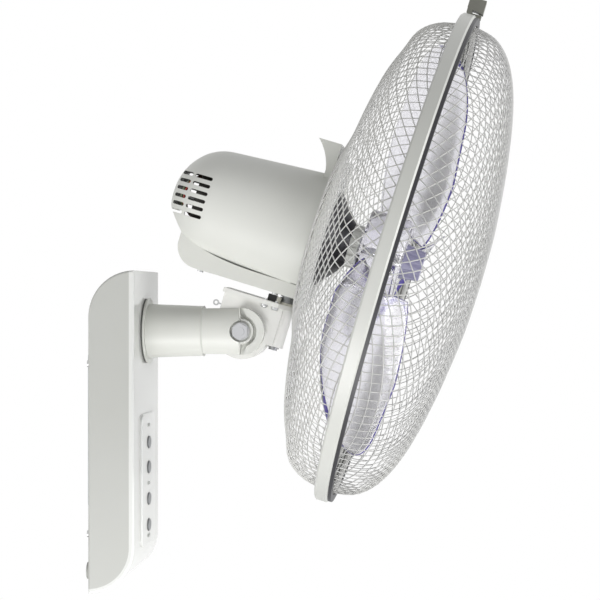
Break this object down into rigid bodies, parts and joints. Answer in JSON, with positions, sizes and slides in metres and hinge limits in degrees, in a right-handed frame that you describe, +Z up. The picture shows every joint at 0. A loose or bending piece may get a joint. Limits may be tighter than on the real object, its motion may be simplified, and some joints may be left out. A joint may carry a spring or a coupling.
{
  "type": "wall mounted fan",
  "caption": "Wall mounted fan: a wall box with push buttons, a tilting arm joint, a swinging motor head and a wire cage round a three-bladed rotor.",
  "frame": {"origin": "centre of the wall plate's four screw holes, on the wall plane", "axes": "+Z up, +X to the right as seen from the room, the fan blows towards -Y and the wall is y = 0"},
  "size_m": [0.45, 0.3761, 0.5273],
  "materials": {
    "galvanised_steel": "galvanised sheet",
    "housing_plastic": "moulded, fine spark-eroded grain",
    "cover_plastic": "moulded, satin",
    "panel_plastic": "moulded, polished",
    "indicator_lens": "clear moulded",
    "circuit_board": "glass laminate",
    "black_plastic": "moulded",
    "nylon": "natural nylon",
    "black_rubber": "moulded",
    "zinc_screw": "zinc plated",
    "chrome_bolt": "polished plating",
    "button_plastic": "moulded",
    "power_button_plastic": "moulded",
    "neck_metal": "painted",
    "shaft_steel": "ground",
    "motor_casting": "die cast",
    "lamination_steel": "stacked sheet",
    "copper_winding": "enamelled wire",
    "guard_wire": "coated wire",
    "clamp_plastic": "moulded",
    "ring_plastic": "moulded",
    "dark_trim": "moulded",
    "clip_plastic": "moulded",
    "blade_plastic": "translucent, moulded",
    "blade_nut_plastic": "moulded"
  },
  "bodies": {
    "wall_base": {"wall_plate": "galvanised_steel", "rear_housing": "housing_plastic", "front_cover": "cover_plastic", "control_panel": "panel_plastic", "indicator_lenses": "indicator_lens", "control_board": "circuit_board", "tact_switches": "black_plastic", "run_capacitor": "black_plastic", "terminal_block": "nylon", "wall_bumpers": "black_rubber", "cord_grommet": "black_rubber", "housing_screws": "zinc_screw", "arm_bracket": "galvanised_steel", "bracket_screws": "zinc_screw", "arm": "cover_plastic", "arm_gasket": "black_rubber", "arm_screws": "zinc_screw", "pivot_bolt": "chrome_bolt", "pivot_nut": "chrome_bolt", "pivot_washers": "zinc_screw"},
    "speed_button": {"speed_button": "button_plastic"},
    "swing_button": {"swing_button": "button_plastic"},
    "timer_button": {"timer_button": "button_plastic"},
    "power_button": {"power_button": "power_button_plastic"},
    "neck": {"neck_bracket": "neck_metal", "swivel_bush": "nylon", "neck_screws": "zinc_screw", "stop_lug": "black_plastic", "nylon_post": "nylon", "link_pin": "zinc_screw", "cable_loop": "zinc_screw"},
    "head": {"swivel_spindle": "shaft_steel", "spindle_ring": "shaft_steel", "swivel_yoke": "motor_casting", "motor_shell": "housing_plastic", "motor_skirt": "housing_plastic", "skirt_screws": "zinc_screw", "motor_stator": "lamination_steel", "motor_windings": "copper_winding", "front_bell": "motor_casting", "rear_bell": "motor_casting", "motor_bearings": "shaft_steel", "swing_motor": "galvanised_steel", "guard_dish": "housing_plastic", "rear_guard": "guard_wire", "front_guard": "guard_wire", "clamp_plate": "clamp_plastic", "clamp_cone": "clamp_plastic", "guard_nut": "clamp_plastic", "guard_ring": "ring_plastic", "ring_trim": "dark_trim", "clip_base": "clip_plastic"},
    "crank": {"crank_disc": "nylon"},
    "link": {"swing_link": "galvanised_steel"},
    "clip": {"guard_clip": "clip_plastic"},
    "rotor": {"motor_shaft": "shaft_steel", "rotor_core": "lamination_steel", "drive_pin": "shaft_steel", "fan_blade": "blade_plastic", "blade_nut": "blade_nut_plastic"}
  },
  "joints": [
    {"name": "tilt", "type": "hinge", "parent": "wall_base", "child": "neck", "pos_m": [0, -0.134, 0.088], "axis": [1, 0, 0], "range_deg": [-17, 18]},
    {"name": "oscillate", "type": "hinge", "parent": "neck", "child": "head", "pos_m": [0, -0.17205, 0.10983], "axis": [0, -0.2924, 0.9563], "range_deg": [-33.8, 33.8]},
    {"name": "crank_turn", "type": "hinge", "parent": "head", "child": "crank", "pos_m": [0.00285, -0.10871, 0.14802], "axis": [0, -0.2924, 0.9563], "range_deg": [-52, 52]},
    {"name": "link_turn", "type": "hinge", "parent": "neck", "child": "link", "pos_m": [0.00985, -0.17468, 0.1244], "axis": [0, -0.2924, 0.9563], "range_deg": [-34, 34]},
    {"name": "blade_spin", "type": "hinge", "parent": "head", "child": "rotor", "pos_m": [0, -0.2738, 0.15192], "axis": [0, -0.9563, -0.2924], "continuous": true},
    {"name": "clip_turn", "type": "hinge", "parent": "head", "child": "clip", "pos_m": [0, -0.33678, 0.37161], "axis": [1, 0, 0], "range_deg": [-60, 0]},
    {"name": "speed_press", "type": "slide", "parent": "wall_base", "child": "speed_button", "axis": [0, 1, 0], "range_m": [0, 0.0012], "stiffness_N_per_m": 800, "springref_m": -0.0006},
    {"name": "swing_press", "type": "slide", "parent": "wall_base", "child": "swing_button", "axis": [0, 1, 0], "range_m": [0, 0.0012], "stiffness_N_per_m": 800, "springref_m": -0.0006},
    {"name": "timer_press", "type": "slide", "parent": "wall_base", "child": "timer_button", "axis": [0, 1, 0], "range_m": [0, 0.0012], "stiffness_N_per_m": 800, "springref_m": -0.0006},
    {"name": "power_press", "type": "slide", "parent": "wall_base", "child": "power_button", "axis": [0, 1, 0], "range_m": [0, 0.0012], "stiffness_N_per_m": 800, "springref_m": -0.0006}
  ],
  "couplings": [
    {"joint": "crank_turn", "follows": "oscillate", "ratio": -1.527},
    {"joint": "link_turn", "follows": "oscillate", "ratio": 1}
  ]
}
